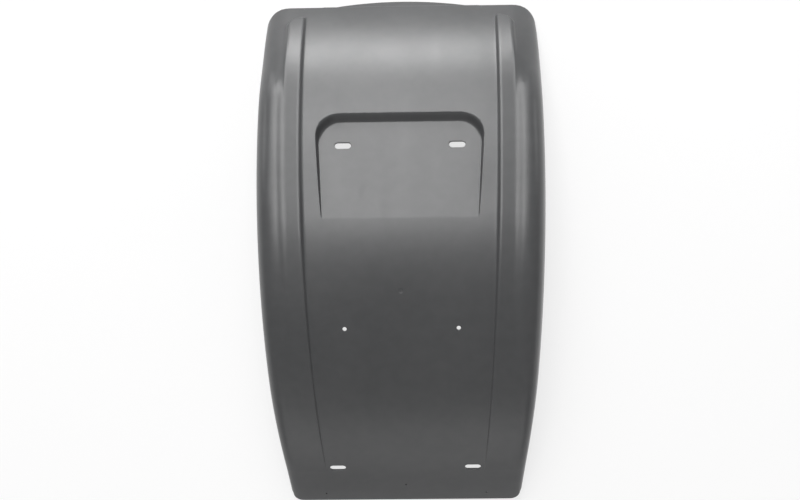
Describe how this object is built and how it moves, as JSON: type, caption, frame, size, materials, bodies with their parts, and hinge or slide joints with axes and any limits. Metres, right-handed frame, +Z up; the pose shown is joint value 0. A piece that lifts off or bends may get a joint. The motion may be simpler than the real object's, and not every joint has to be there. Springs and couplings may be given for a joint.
{
  "type": "mudguard",
  "caption": "Quarter mudguard: a moulded plastic arch with tapering width, two raised bands, rounded shoulders, a flat recessed seat with slots, more fixing holes and a lapping tongue.",
  "frame": {"origin": "middle of the bottom of the bounding box, with the guard lying dome up on its two ends", "axes": "+X across the wheel along its axle direction, +Y along the chord towards the overlap tongue, +Z up, which is radially outward at the crest"},
  "size_m": [0.444, 0.7932, 0.1869],
  "materials": {
    "guard_plastic": "satin"
  },
  "bodies": {
    "root": {"guard_shell": "guard_plastic"}
  },
  "joints": []
}
